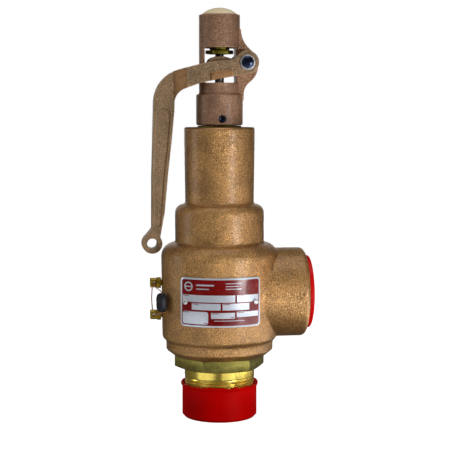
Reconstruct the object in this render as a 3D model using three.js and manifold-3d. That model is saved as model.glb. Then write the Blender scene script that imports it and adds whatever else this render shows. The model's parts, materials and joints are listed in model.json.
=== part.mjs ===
// Pressure relief valve, 2 inch male pipe inlet by 2 inch female pipe outlet, in bronze, with a lift lever.
// Millimetres. +Z is up the valve's axis, +X points out of the outlet, and the origin is the centre of the
// flat bottom of the inlet's protector cap, which the valve stands on. Heights below are drawn from a level
// LIFT above that bottom, and place() raises every piece by LIFT.
import * as THREE from 'three';
import { mergeVertices } from 'three/addons/utils/BufferGeometryUtils.js';
import Module from 'manifold-3d';

const wasm = await Module();
wasm.setup();

// ---------------------------------------------------------------- driving dimensions
const GAP = 0.4;                   // clearance kept between neighbouring pieces
const ROUND = 48;                  // facets round the outside of large turned and cast pieces
const ROUND_INNER = 32;            // facets round bores and the pieces inside the casting
const ROUND_SMALL = 16;            // facets round pins, screws and holes
const THROUGH = 60;                // half-length of a tool that cuts right through a piece
const BEYOND = 4;                  // how far a cutting tool stands out of the face it opens
const LIFT = 1.7;                  // from the bottom of the protector cap up to the drawing's height 0

// inlet
const PIPE_R = 30.15;              // 2 inch pipe thread, outside radius
const COVER_R = 32.2;              // inlet protector cap, outside
const COVER_LIP_R = 33.1;
const COVER_TOP = 28.1;
const COVER_FLOOR = 1.5;           // thickness of its floor
const NOZZLE_BOTTOM = 0.4;
const INLET_R = 25.5;              // mouth of the nozzle's bore
const HEX_BOTTOM = 41.4;
const HEX_TOP = 51.8;
const HEX_FLATS = 67.8;            // across the wrench flats
const HEX_TURN = 2.6;              // degrees that a corner stands off the +X axis
const BORE_R = 16.3;               // nozzle throat
const SEAT_Z = 96;

// body casting
const COLLAR_R = 45.9;
const CHAMBER_R = 50;              // large lower chamber, outside
const CHAMBER_INNER_R = 43;
const CHAMBER_SHOULDER = 11;
const CHAMBER_TOP = 148.8;
const WAIST_R = 38;                // middle section, outside
const WAIST_SHOULDER = 7;
const WAIST_TOP = 181.9;
const HOUSING_R = 30.1;            // spring housing, outside, at its machined top
const HOUSING_INNER_R = 22.3;
const HOUSING_TOP = 247.4;
const PARTITION = [138, 149.5];    // wall between the chamber and the spring housing
const PARTITION_R = 20.8;
const NECK_R = 30.6;               // threaded hole for the nozzle

// outlet, along +X
const OUTLET_Z = 105.3;
const OUTLET_R = 38.3;
const OUTLET_FACE = 73.3;
const OUTLET_EDGE = 4;             // rounding of the outlet's rim
const OUTLET_THREAD_R = 28.6;
const OUTLET_THREAD_START = 46;
const OUTLET_PASSAGE_R = 26.5;
const OUTLET_PASSAGE_START = 33;
const PLUG_FACE = 77.6;             // outer face of the outlet's protector plug
const PLUG_FLANGE_R = 31.4;
const PLUG_FLOOR = 58;
const PLUG_WALL = 1.8;

// moving column on the valve's axis
const STEM_R = 3.9;
const STEM_BORE_R = 4.4;
const STEM_BOTTOM = 108;
const STEM_TOP = 328;
const STEM_SHOULDER = [143.5, 149.6];
const LOWER_STEP = [150, 157.2];
const UPPER_STEP = [220, 225.6];
const STEP_R = 19.4;
const STEP_LIP = 3;                // height of the collar that centres the coil on each step
const SPRING_MEAN_R = 16.2;
const SPRING_WIRE_R = 2.9;
const SPRING_TURNS = 6.5;
const LIFT_NUT = [309.1, 312.2];
const LIFT_NUT_R = 12;             // over the corners
const LIFT_JAM_NUT = [312.6, 317];

// cap over the spring adjustment
const CAP_BOTTOM = 249.1;
const SKIRT_R = 19.85;
const SKIRT_TOP = 275.4;
const CAP_R = 17.35;
const WINDOW = [284.9, 314.3];
const CAP_SHOULDER = 342;
const CAP_TOP = 348;
const DOME_R = 15.7;               // foot of the dome, inside the cap's top edge
const CAP_INNER_R = 13.2;
const POST_HALF = 8;               // half-width, along Y, of the cap's two side posts and its lug
const SET_SCREW_Z = 254.4;

// lever and its pin, which lies along Y
const PIN_X = 21.9;
const PIN_Z = 301.9;
const PIN_R = 3;
const CHEEK = [8.5, 15];           // the fork's cheeks, in distance from the middle plane
const BOSS_R = 10;
const EYE_X = -58.1;
const EYE_Z = 149;
const EYE_R = 8.7;
const EYE_HOLE_R = 4.4;

// ring pins, locknuts, wire and lead seal on the -X side
const UPPER_PIN_Z = 115;
const LOWER_PIN_Z = 87.5;
const RING_PIN_R = 2.6;
const RING_R = [23, 27.6];         // bore and outside of both regulator rings

// nameplate, wrapped round the chamber
const PLATE_ARC = 81;              // degrees
const PLATE_AZIMUTH = -96;         // direction of its middle in the XY plane, degrees from +X
const PLATE_Z = [83.3, 124.3];
const PLATE_R = [50.35, 51.05];
const PLATE_SCREW_ARC = 69;        // degrees between the two drive screws

// ---------------------------------------------------------------- geometry helpers
const rad = THREE.MathUtils.degToRad;
const point = (x, y) => new THREE.Vector2(x, y);

// Points of an arc about (cx, cy), both ends included.
function arc(cx, cy, radius, from, to, steps) {
  return Array.from({ length: steps + 1 }, (_, i) => {
    const a = rad(from + ((to - from) * i) / steps);
    return point(cx + radius * Math.cos(a), cy + radius * Math.sin(a));
  });
}

// A closed mesh as a manifold solid: shared vertices merged, collapsed triangles dropped.
function solid(geometry) {
  const bare = new THREE.BufferGeometry();
  bare.setAttribute('position', geometry.getAttribute('position'));
  if (geometry.index) bare.setIndex(geometry.index);
  const merged = mergeVertices(bare, 1e-4);
  const index = merged.index.array;
  const triangles = [];
  for (let i = 0; i < index.length; i += 3) {
    const [a, b, c] = [index[i], index[i + 1], index[i + 2]];
    if (a !== b && b !== c && c !== a) triangles.push(a, b, c);
  }
  return new wasm.Manifold(new wasm.Mesh({
    numProp: 3,
    vertProperties: Float32Array.from(merged.getAttribute('position').array),
    triVerts: Uint32Array.from(triangles),
  }));
}

function geometryOf(manifold) {
  const mesh = manifold.getMesh();
  const geometry = new THREE.BufferGeometry();
  geometry.setAttribute('position', new THREE.BufferAttribute(mesh.vertProperties, 3));
  geometry.setIndex(new THREE.BufferAttribute(mesh.triVerts, 1));
  return geometry;
}

// Turned solid on the Z axis. The outline runs anticlockwise in (radius, height) and closes on itself.
function turned(outline, facets = ROUND) {
  const closed = [...outline, outline[0].clone()];
  const onAxis = outline[0].x === 0 && outline[outline.length - 1].x === 0;
  const geometry = new THREE.LatheGeometry(onAxis ? outline : closed, facets, Math.PI / 2);
  return solid(geometry.rotateX(Math.PI / 2));
}

// Hollow round piece on the Z axis.
const tube = (inner, outer, low, high, facets) => turned(
  [point(inner, low), point(outer, low), point(outer, high), point(inner, high)], facets);

// Solid round piece on the Z axis.
const rod = (radius, low, high, facets) => turned(
  [point(0, low), point(radius, low), point(radius, high), point(0, high)], facets);

// Prism on the Z axis with flat sides.
function hexagon(acrossCorners, low, high, turn = 0) {
  const prism = new THREE.CylinderGeometry(acrossCorners / 2, acrossCorners / 2, high - low, 6);
  prism.rotateX(Math.PI / 2).rotateZ(Math.PI / 6 + rad(turn)).translate(0, 0, (low + high) / 2);
  return solid(prism);
}

// Outline in (x, z) carried along Y between two values.
function slabY(outline, low, high) {
  const geometry = new THREE.ExtrudeGeometry(new THREE.Shape(outline),
    { depth: high - low, bevelEnabled: false, curveSegments: 1 });
  return solid(geometry.rotateX(Math.PI / 2).translate(0, high, 0));
}

// Outline in (x, y) carried up Z between two values.
function slabZ(outline, low, high) {
  const geometry = new THREE.ExtrudeGeometry(new THREE.Shape(outline),
    { depth: high - low, bevelEnabled: false, curveSegments: 1 });
  return solid(geometry.translate(0, 0, low));
}

function block(xRange, yRange, zRange) {
  const size = [xRange, yRange, zRange].map(([low, high]) => high - low);
  const middle = [xRange, yRange, zRange].map(([low, high]) => (low + high) / 2);
  return solid(new THREE.BoxGeometry(...size).translate(...middle));
}

// Turn a piece made on the Z axis so that its axis lies along X or Y, pointing the positive way.
const alongX = (piece) => piece.rotate([0, 90, 0]);
const alongY = (piece) => piece.rotate([-90, 0, 0]);
const at = (piece, x, y, z) => piece.translate([x, y, z]);
const joined = (...pieces) => pieces.reduce((whole, piece) => whole.add(piece));

// ---------------------------------------------------------------- materials
const look = (color, roughness, metalness) => new THREE.MeshStandardMaterial({ color, roughness, metalness });
const castBronze = look(0x9a6f45, 0.65, 0.6);
const capBronze = look(0x8c6546, 0.75, 0.55);
const brass = look(0xb8963f, 0.3, 0.9);
const dullBrass = look(0x8a8040, 0.5, 0.8);
const steel = look(0x9a9c9e, 0.35, 0.9);
const springSteel = look(0x4a4d50, 0.5, 0.8);
const blackSteel = look(0x1a1e2c, 0.3, 0.7);
const lead = look(0x3c4450, 0.55, 0.5);
const copper = look(0x9c5b46, 0.4, 0.9);
const redPlastic = look(0xa80a0c, 0.35, 0);
const brightRedPlastic = look(0xd0181a, 0.4, 0);
const plateMetal = look(0xb9b4b4, 0.3, 0.7);

// ---------------------------------------------------------------- body
function bodyOutside() {
  const shoulderR = CHAMBER_R - CHAMBER_SHOULDER;
  const waistShoulderR = WAIST_R - WAIST_SHOULDER;
  return turned([
    point(0, HEX_TOP + GAP),
    point(39.2, HEX_TOP + GAP),
    point(COLLAR_R, 57.2),
    point(COLLAR_R, 63.3),
    ...arc(45.3, 69.5, 4, -70, 0, 3),
    ...arc(shoulderR, CHAMBER_TOP - CHAMBER_SHOULDER, CHAMBER_SHOULDER, 0, 80, 5),
    point(WAIST_R + 0.3, CHAMBER_TOP + 0.3),
    point(WAIST_R, CHAMBER_TOP + 1.6),
    ...arc(waistShoulderR, WAIST_TOP - WAIST_SHOULDER, WAIST_SHOULDER, 0, 80, 4),
    point(29.8, WAIST_TOP + 0.4),
    point(29.3, WAIST_TOP + 2),
    point(HOUSING_R, HOUSING_TOP - 1.2),
    point(HOUSING_R - 0.8, HOUSING_TOP),
    point(0, HOUSING_TOP),
  ]);
}

function bodyInside() {
  return turned([
    point(0, HEX_TOP - BEYOND),
    point(NECK_R, HEX_TOP - BEYOND),
    point(NECK_R, 67),
    point(38, 67),
    point(CHAMBER_INNER_R, 72),
    point(CHAMBER_INNER_R, 131),
    point(37, PARTITION[0]),
    point(PARTITION_R, PARTITION[0]),
    point(PARTITION_R, PARTITION[1]),
    point(30, PARTITION[1]),
    point(30, 170),
    point(HOUSING_INNER_R, 178),
    point(HOUSING_INNER_R, HOUSING_TOP + BEYOND),
    point(0, HOUSING_TOP + BEYOND),
  ], ROUND_INNER);
}

function outletOutside() {
  return at(alongX(turned([
    point(0, 10),
    point(OUTLET_R, 10),
    ...arc(OUTLET_R - OUTLET_EDGE, OUTLET_FACE - OUTLET_EDGE, OUTLET_EDGE, 0, 90, 4),
    point(0, OUTLET_FACE),
  ])), 0, 0, OUTLET_Z);
}

function outletInside() {
  return at(alongX(turned([
    point(0, OUTLET_PASSAGE_START),
    point(OUTLET_PASSAGE_R, OUTLET_PASSAGE_START),
    point(OUTLET_PASSAGE_R, OUTLET_THREAD_START),
    point(OUTLET_THREAD_R, OUTLET_THREAD_START),
    point(OUTLET_THREAD_R, OUTLET_FACE - 1.5),
    point(OUTLET_THREAD_R + 3.5, OUTLET_FACE + 2),
    point(0, OUTLET_FACE + 2),
  ], ROUND_INNER)), 0, 0, OUTLET_Z);
}

// Hole through the chamber wall on the -X side for one ring pin.
const ringPinHole = (z) => at(alongX(rod(RING_PIN_R + GAP, -CHAMBER_R - 5, -30, ROUND_SMALL)), 0, 0, z);

// A radial piece made on the Z axis, turned to point outwards in one direction of the XY plane.
const radially = (piece, azimuth, z) => at(alongX(piece).rotate([0, 0, azimuth]), 0, 0, z);

const plateScrewAzimuths = [-1, 1].map((side) => PLATE_AZIMUTH + (side * PLATE_SCREW_ARC) / 2);
const plateMiddle = (PLATE_Z[0] + PLATE_Z[1]) / 2;
const SCREW_SHANK_R = 1.2;

function bodyCasting() {
  let casting = bodyOutside().add(outletOutside()).subtract(bodyInside()).subtract(outletInside());
  for (const z of [UPPER_PIN_Z, LOWER_PIN_Z]) casting = casting.subtract(ringPinHole(z));
  for (const azimuth of plateScrewAzimuths) {
    const hole = rod(SCREW_SHANK_R + GAP, CHAMBER_R - 5, CHAMBER_R + 5, 12);
    casting = casting.subtract(radially(hole, azimuth, plateMiddle));
  }
  return casting;
}

// ---------------------------------------------------------------- inlet
const hexCorners = HEX_FLATS / Math.cos(Math.PI / 6);

function wrenchHex() {
  const chamfer = turned([
    point(0, HEX_BOTTOM),
    point(HEX_FLATS / 2 - 0.4, HEX_BOTTOM),
    point(hexCorners / 2 + 0.1, HEX_BOTTOM + 1.6),
    point(hexCorners / 2 + 0.1, HEX_TOP),
    point(0, HEX_TOP),
  ], ROUND_INNER);
  return hexagon(hexCorners, HEX_BOTTOM, HEX_TOP, HEX_TURN).intersect(chamfer);
}

function inletNozzle() {
  const outside = turned([
    point(0, NOZZLE_BOTTOM),
    point(PIPE_R - 2.6, NOZZLE_BOTTOM),
    point(PIPE_R - 0.9, NOZZLE_BOTTOM + 1.7),
    point(PIPE_R, 30),
    point(PIPE_R, 66),
    point(26, 70),
    point(22.4, 76),
    point(22.4, 90),
    point(20, SEAT_Z - 3),
    point(18.6, SEAT_Z),
    point(0, SEAT_Z),
  ]);
  const bore = turned([
    point(0, NOZZLE_BOTTOM - BEYOND),
    point(INLET_R, NOZZLE_BOTTOM - BEYOND),
    point(INLET_R, NOZZLE_BOTTOM + 6),
    point(BORE_R, HEX_BOTTOM + 6),
    point(BORE_R, SEAT_Z + BEYOND),
    point(0, SEAT_Z + BEYOND),
  ], ROUND_INNER);
  return outside.add(wrenchHex()).subtract(bore);
}

function inletProtectorCap() {
  const inner = PIPE_R + GAP;
  return turned([
    point(0, -LIFT),
    point(COVER_R - 2, -LIFT),
    point(COVER_R, 2.2 - LIFT),
    point(COVER_R, COVER_TOP - 3),
    point(COVER_LIP_R, COVER_TOP - 2),
    point(COVER_LIP_R, COVER_TOP - 0.6),
    point(inner + 0.5, COVER_TOP),
    point(inner, COVER_TOP - 2.6),
    point(inner, COVER_FLOOR - LIFT),
    point(0, COVER_FLOOR - LIFT),
  ]);
}

// ---------------------------------------------------------------- outlet plug
function outletProtectorPlug() {
  const flangeBack = OUTLET_FACE + GAP;
  const wallR = OUTLET_THREAD_R - GAP;
  return at(alongX(turned([
    point(0, PLUG_FLOOR),
    point(wallR - 1.2, PLUG_FLOOR),
    point(wallR, PLUG_FLOOR + 8),
    point(wallR, flangeBack),
    point(PLUG_FLANGE_R, flangeBack),
    point(PLUG_FLANGE_R, PLUG_FACE - 0.6),
    point(PLUG_FLANGE_R - 0.6, PLUG_FACE),
    point(wallR - PLUG_WALL, PLUG_FACE),
    point(wallR - PLUG_WALL - 1.2, PLUG_FLOOR + PLUG_WALL),
    point(0, PLUG_FLOOR + PLUG_WALL),
  ], ROUND_INNER)), 0, 0, OUTLET_Z);
}

// ---------------------------------------------------------------- regulator rings and guide
// Ring with notches round its outside, which the tip of its ring pin sits in.
function regulatorRing(low, high, pinZ) {
  const notches = 12;
  const depth = 2.2;
  let ring = tube(...RING_R, low, high, ROUND_INNER);
  const notch = block([-RING_R[1] - 2, -RING_R[1] + depth], [-2.1, 2.1], [pinZ - 3.4, high + 1]);
  for (let i = 0; i < notches; i += 1) ring = ring.subtract(notch.rotate([0, 0, (i * 360) / notches]));
  return ring;
}

function discGuide() {
  return turned([
    point(17.4, 114),
    point(22.5, 114),
    point(22.5, 131.6),
    point(27, 131.6),
    point(27, PARTITION[0] - GAP),
    point(PARTITION_R - GAP, PARTITION[0] - GAP),
    point(PARTITION_R - GAP, PARTITION[1] - 1),
    point(8.2, PARTITION[1] - 1),
    point(8.2, 141),
    point(17.4, 141),
  ], ROUND_INNER);
}

// ---------------------------------------------------------------- disc, stem, spring and adjustment
function valveDisc() {
  const low = SEAT_Z + GAP;
  return turned([
    point(0, low),
    point(19.6, low),
    point(19.6, low + 7),
    point(17, low + 9),
    point(17, 131),
    point(14, 131),
    point(6, STEM_BOTTOM + 2),
    point(STEM_R + 1, STEM_BOTTOM - GAP),
    point(0, STEM_BOTTOM - GAP),
  ], ROUND_INNER);
}

function stem() {
  return turned([
    point(0, STEM_BOTTOM),
    point(STEM_R, STEM_BOTTOM + 2),
    point(STEM_R, STEM_SHOULDER[0]),
    point(6.6, STEM_SHOULDER[0] + 1),
    point(6.6, STEM_SHOULDER[1]),
    point(STEM_R, STEM_SHOULDER[1]),
    point(STEM_R, STEM_TOP - 1),
    point(STEM_R - 1, STEM_TOP),
    point(0, STEM_TOP),
  ], ROUND_SMALL);
}

// Spring seat washer with a collar that centres the coil. up is 1 for the lower step, -1 for the upper.
function springStep([low, high], up) {
  const base = up > 0 ? [low, high - STEP_LIP] : [low + STEP_LIP, high];
  return tube(STEM_BORE_R, STEP_R, ...base, ROUND_INNER)
    .add(tube(STEM_BORE_R, SPRING_MEAN_R - SPRING_WIRE_R - GAP, low, high, ROUND_INNER));
}

// Coil between the steps. Its first and last turns are closed, and the turns between rise evenly.
function springCoil() {
  const low = LOWER_STEP[1] - STEP_LIP + GAP + SPRING_WIRE_R;
  const high = UPPER_STEP[0] + STEP_LIP - GAP - SPRING_WIRE_R;
  const stepsPerTurn = 10;
  const steps = Math.round(stepsPerTurn * SPRING_TURNS);
  const closedTurns = 1;
  const closedPitch = 2.1 * SPRING_WIRE_R;
  const openTurns = SPRING_TURNS - 2 * closedTurns;
  const openPitch = (high - low - 2 * closedTurns * closedPitch) / openTurns;
  const height = (turn) => {
    if (turn < closedTurns) return low + turn * closedPitch;
    if (turn > SPRING_TURNS - closedTurns) return high - (SPRING_TURNS - turn) * closedPitch;
    return low + closedTurns * closedPitch + (turn - closedTurns) * openPitch;
  };
  const points = Array.from({ length: steps + 1 }, (_, i) => {
    const turn = (i * SPRING_TURNS) / steps;
    const a = 2 * Math.PI * turn;
    return new THREE.Vector3(SPRING_MEAN_R * Math.cos(a), SPRING_MEAN_R * Math.sin(a), height(turn));
  });
  return wireAlong(points, SPRING_WIRE_R, 6, steps);
}

// Round wire swept along a smooth curve through the points.
function wireAlong(points, radius, sides, steps) {
  const section = new THREE.Shape(arc(0, 0, radius, 0, 360, sides).slice(0, -1));
  const path = new THREE.CatmullRomCurve3(points);
  return solid(new THREE.ExtrudeGeometry(section, { steps, extrudePath: path, curveSegments: 1 }));
}

function topPlug() {
  return turned([
    point(8.5, 232),
    point(HOUSING_INNER_R - GAP, 232),
    point(HOUSING_INNER_R - GAP, HOUSING_TOP - 1),
    point(18.6, HOUSING_TOP - 1),
    point(18.6, CAP_BOTTOM - GAP),
    point(11.8, CAP_BOTTOM - GAP),
    point(11.8, 258),
    point(8.5, 258),
  ], ROUND_INNER);
}

function compressionScrew() {
  return tube(STEM_BORE_R, 8, UPPER_STEP[1] + GAP, 268, ROUND_SMALL);
}

const compressionLocknut = () => hexagon(26, 258.4, 264).subtract(rod(8 + GAP, 250, 270, ROUND_SMALL));

// Hexagon nut on the stem.
const stemNut = ([low, high], cornerR) => hexagon(cornerR * 2, low, high)
  .subtract(rod(STEM_R + GAP, low - 1, high + 1, ROUND_SMALL));

// ---------------------------------------------------------------- cap
function capRound() {
  const domeRise = CAP_TOP - CAP_SHOULDER;
  const sphereR = (DOME_R ** 2 + domeRise ** 2) / (2 * domeRise);
  const domeEdge = THREE.MathUtils.radToDeg(Math.acos(DOME_R / sphereR));
  const dome = arc(0, CAP_TOP - sphereR, sphereR, domeEdge, 90, 6).slice(0, -1);
  return turned([
    point(0, CAP_BOTTOM),
    point(SKIRT_R - 0.8, CAP_BOTTOM),
    point(SKIRT_R, CAP_BOTTOM + 1.2),
    point(SKIRT_R, SKIRT_TOP - 0.8),
    point(SKIRT_R - 1.2, SKIRT_TOP),
    point(CAP_R, SKIRT_TOP + 0.2),
    point(CAP_R, CAP_SHOULDER - 0.5),
    point(CAP_R - 0.5, CAP_SHOULDER),
    ...dome,
    point(0, CAP_TOP),
  ]);
}

// Lug on the +X side: a round lobe that runs into the cap above and below through hollow curves.
function lugOutline() {
  const lobeX = 15.2;
  const lobeZ = 299.3;
  const lobeR = 17;
  const lowerHollowR = 13;
  const upperHollowR = 22;
  const lowerX = SKIRT_R + lowerHollowR;
  const upperX = CAP_R + upperHollowR;
  const lowerAngle = Math.acos((lowerX - lobeX) / (lobeR + lowerHollowR));
  const upperAngle = Math.acos((upperX - lobeX) / (lobeR + upperHollowR));
  const lowerZ = lobeZ - (lobeR + lowerHollowR) * Math.sin(lowerAngle);
  const upperZ = lobeZ + (lobeR + upperHollowR) * Math.sin(upperAngle);
  const low = THREE.MathUtils.radToDeg(lowerAngle);
  const high = THREE.MathUtils.radToDeg(upperAngle);
  const inside = CAP_INNER_R + 0.2;
  return [
    point(inside, SKIRT_TOP - 6),
    point(SKIRT_R - 0.2, SKIRT_TOP - 6),
    ...arc(lowerX, lowerZ, lowerHollowR, 180, 180 - low, 5),
    ...arc(lobeX, lobeZ, lobeR, -low + 6, high - 6, 10),
    ...arc(upperX, upperZ, upperHollowR, 180 + high, 180, 5),
    point(inside, upperZ),
  ];
}

function cap() {
  const inside = turned([
    point(0, CAP_BOTTOM - 2),
    point(16.2, CAP_BOTTOM - 2),
    point(16.2, 270),
    point(CAP_INNER_R, 272),
    point(CAP_INNER_R, 336),
    point(8, 340),
    point(0, 340),
  ], ROUND_INNER);
  const window = block([-CAP_INNER_R - 0.1, CAP_INNER_R], [-THROUGH, THROUGH], WINDOW);
  // the lever's cheeks pass the posts on both sides, so nothing of the cap stands beside a post
  const cheekRoom = [-1, 1].map((side) => {
    const range = side > 0 ? [POST_HALF, THROUGH] : [-THROUGH, -POST_HALF];
    return block([-THROUGH, THROUGH], range, WINDOW);
  });
  const lug = slabY(lugOutline(), -POST_HALF, POST_HALF);
  const pinHole = at(alongY(rod(PIN_R + GAP, -THROUGH, THROUGH, ROUND_SMALL)), PIN_X, 0, PIN_Z);
  const setScrewHole = at(alongY(rod(3.35, -THROUGH, -14, ROUND_SMALL)), 0, 0, SET_SCREW_Z);
  return capRound().subtract(joined(...cheekRoom)).add(lug)
    .subtract(joined(inside, window, pinHole, setScrewHole));
}

function capSetScrew() {
  const outer = 18;
  const socket = at(alongY(hexagon(3.4, -outer - 1, -outer + 2.4)), 0, 0, SET_SCREW_Z);
  return at(alongY(rod(2.95, -outer, -12.3, ROUND_SMALL)), 0, 0, SET_SCREW_Z).subtract(socket);
}

// ---------------------------------------------------------------- lever
// Side outline of the lever in (x, z): boss, arm, elbow, long handle and eye.
function leverOutline() {
  return [
    ...arc(PIN_X, PIN_Z, BOSS_R, -85, 125, 12),
    point(10.5, 304.6),
    point(-4.5, 303.2),
    point(-16, 301),
    ...arc(-27.2, 267.9, 29.2, 104, 176, 8),
    point(-57.4, 233),
    point(-58.1, 205),
    point(-58.4, 162),
    ...arc(EYE_X, EYE_Z, EYE_R, 125, 398, 16),
    point(-47.3, 176),
    point(-44.4, 208),
    point(-41.2, 236.5),
    point(-38.9, 261),
    ...arc(-25.6, 267.8, 13.2, 186, 104, 6),
    point(-17.5, 284.7),
    point(-10, 286.2),
    point(3, 289),
    point(13, 290.6),
  ];
}

// Shallow panel sunk in each side of the handle.
function panelOutline() {
  return [
    ...arc(-48.2, 257.5, 6, 176, 4, 8),
    point(-44.6, 232),
    point(-47.4, 208),
    point(-50.4, 172),
    ...arc(-53.4, 165, 2.6, 0, -180, 5),
    point(-56.4, 205),
  ];
}

function lever() {
  const fork = CHEEK[1];
  const blank = slabY(leverOutline(), -fork, fork);
  // seen from above: wide over the fork, sloping in behind the elbow to the thinner handle
  const plan = slabZ([point(40, -fork), point(40, fork), point(-29.3, fork), point(-39.3, 6.4),
    point(-75, 6.4), point(-75, -6.4), point(-39.3, -6.4), point(-29.3, -fork)], 130, 330);
  const slot = block([-21, THROUGH], [-CHEEK[0], CHEEK[0]], [270, 330]);
  let piece = blank.intersect(plan).subtract(slot);
  for (const side of [-1, 1]) {
    const spread = (near, far) => (side > 0 ? [near, far] : [-far, -near]);
    const cam = [point(-10.5, 301), ...arc(-4.2, 300.6, 6.2, 165, 90, 4), point(3.5, 306.8), point(10.5, 304.4)];
    const pad = [point(-9.1, 286.6), point(9.7, 290.3), point(9.7, 295.9), point(-9.1, 293.1)];
    piece = piece.add(slabY(cam, ...spread(CHEEK[0], 12.4)));
    piece = piece.add(slabY(pad, ...spread(CHEEK[0] + 1, fork + 0.9)));
    piece = piece.subtract(slabY(panelOutline(), ...spread(5.5, 20)));
  }
  const pinHole = at(alongY(rod(PIN_R + GAP, -THROUGH, THROUGH, ROUND_SMALL)), PIN_X, 0, PIN_Z);
  const eyeHole = at(alongY(rod(EYE_HOLE_R, -THROUGH, THROUGH, ROUND_SMALL)), EYE_X, 0, EYE_Z);
  return piece.subtract(pinHole).subtract(eyeHole);
}

const WASHER = 1;
const WASHER_R = 6.35;
const PIN_HEAD_R = 5.3;
const pinPlace = (piece) => at(alongY(piece), PIN_X, 0, PIN_Z);
const washerStart = CHEEK[1] + 0.3;

function leverPin() {
  const head = washerStart + WASHER + 0.3;
  const flatness = 0.42;
  const dome = arc(0, 0, PIN_HEAD_R, -90, 0, 4).map((p) => point(p.x, p.y * flatness - head));
  const end = 22.5;
  return pinPlace(turned([
    point(0, dome[0].y),
    ...dome.slice(1),
    point(PIN_R, -head),
    point(PIN_R, end),
    point(0, end),
  ], ROUND_SMALL));
}

function leverPinWasher(side) {
  const range = side > 0 ? [washerStart, washerStart + WASHER] : [-washerStart - WASHER, -washerStart];
  return pinPlace(tube(PIN_R + GAP, WASHER_R, ...range, ROUND_SMALL));
}

const leverPinNut = () => pinPlace(hexagon(11, washerStart + WASHER + 0.3, 21.2)
  .subtract(rod(PIN_R + GAP, 0, 30, ROUND_SMALL)));

// ---------------------------------------------------------------- ring pins and seal
const PIN_NUT = [-54, -50.6];
const PIN_HEAD = [-59.8, -54.3];
const HEAD_HALF = 3.9;
const WIRE_HOLE_X = -57;

function ringPin(z) {
  const tip = -RING_R[1] + 1.6;
  const shoulder = -RING_R[1] - 2 * GAP;
  const shank = alongX(rod(RING_PIN_R, PIN_HEAD[1] - 1, shoulder, ROUND_SMALL));
  const nose = alongX(rod(1.6, shoulder - 1, tip, 12));
  const head = block(PIN_HEAD, [-HEAD_HALF, HEAD_HALF], [-HEAD_HALF, HEAD_HALF])
    .intersect(alongX(rod(HEAD_HALF * 1.24, PIN_HEAD[0], PIN_HEAD[1], ROUND_SMALL)));
  const wireHole = at(alongY(rod(1.2, -10, 10, 12)), WIRE_HOLE_X, 0, 0);
  return at(joined(shank, nose, head).subtract(wireHole), 0, 0, z);
}

const ringPinLocknut = (z) => at(alongX(hexagon(10.4, ...PIN_NUT, 90)
  .subtract(rod(RING_PIN_R + GAP, -60, -45, ROUND_SMALL))), 0, 0, z);

const SEAL_AZIMUTH = 200.5;
const SEAL_R = 54.9;
const SEAL_Z = 100.5;
const SEAL_SIZE = [3.8, 5.4, 8];           // half-sizes, outwards, round the body and up
const sealX = SEAL_R * Math.cos(rad(SEAL_AZIMUTH));
const sealY = SEAL_R * Math.sin(rad(SEAL_AZIMUTH));

function leadSeal() {
  const slug = solid(new THREE.SphereGeometry(1, 12, 8).rotateX(Math.PI / 2).scale(...SEAL_SIZE));
  return at(slug.subtract(rod(1.1, -20, 20, 12)).rotate([0, 0, SEAL_AZIMUTH - 180]), sealX, sealY, SEAL_Z);
}

// From the seal's top through the upper pin's head, down beside the seal, through the lower pin's head
// and back into the seal from below.
function sealWire() {
  const v = (x, y, z) => new THREE.Vector3(x, y, z);
  return wireAlong([
    v(sealX, sealY, SEAL_Z + 2),
    v(sealX, sealY, SEAL_Z + 8.6),
    v(WIRE_HOLE_X + 0.6, -7.4, UPPER_PIN_Z - 2.4),
    v(WIRE_HOLE_X, -4.6, UPPER_PIN_Z),
    v(WIRE_HOLE_X, 4.6, UPPER_PIN_Z),
    v(WIRE_HOLE_X - 0.6, 5.2, UPPER_PIN_Z - 4.6),
    v(WIRE_HOLE_X - 1.2, 0.6, UPPER_PIN_Z - 9),
    v(WIRE_HOLE_X - 1.6, -1, SEAL_Z + 3),
    v(WIRE_HOLE_X - 1.2, 0.6, LOWER_PIN_Z + 8),
    v(WIRE_HOLE_X - 0.6, 5.2, LOWER_PIN_Z + 4.2),
    v(WIRE_HOLE_X, 4.6, LOWER_PIN_Z),
    v(WIRE_HOLE_X, -4.6, LOWER_PIN_Z),
    v(WIRE_HOLE_X + 0.6, -7.2, LOWER_PIN_Z + 0.6),
    v(sealX, sealY, SEAL_Z - 8.4),
    v(sealX, sealY, SEAL_Z - 2),
  ], 0.45, 8, 40);
}

// ---------------------------------------------------------------- nameplate
function nameplate() {
  const [from, to] = [PLATE_AZIMUTH - PLATE_ARC / 2, PLATE_AZIMUTH + PLATE_ARC / 2];
  const outline = [...arc(0, 0, PLATE_R[1], from, to, 24), ...arc(0, 0, PLATE_R[0], to, from, 24)];
  let plate = slabZ(outline, ...PLATE_Z);
  for (const azimuth of plateScrewAzimuths) {
    const hole = rod(SCREW_SHANK_R + GAP, PLATE_R[0] - 2, PLATE_R[1] + 2, 12);
    plate = plate.subtract(radially(hole, azimuth, plateMiddle));
  }
  return plate;
}

function nameplateScrew(azimuth) {
  const seat = PLATE_R[1] + 0.35;
  return radially(turned([
    point(0, CHAMBER_R - 4.5),
    point(SCREW_SHANK_R, CHAMBER_R - 4),
    point(SCREW_SHANK_R, seat),
    point(2.5, seat),
    point(2.2, seat + 0.8),
    point(1.2, seat + 1.25),
    point(0, seat + 1.3),
  ], 16), azimuth, plateMiddle);
}

// ---------------------------------------------------------------- the assembly
const valve = new THREE.Group();

function place(name, piece, material) {
  const mesh = new THREE.Mesh(geometryOf(piece.translate([0, 0, LIFT])), material);
  mesh.name = name;
  valve.add(mesh);
}

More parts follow.
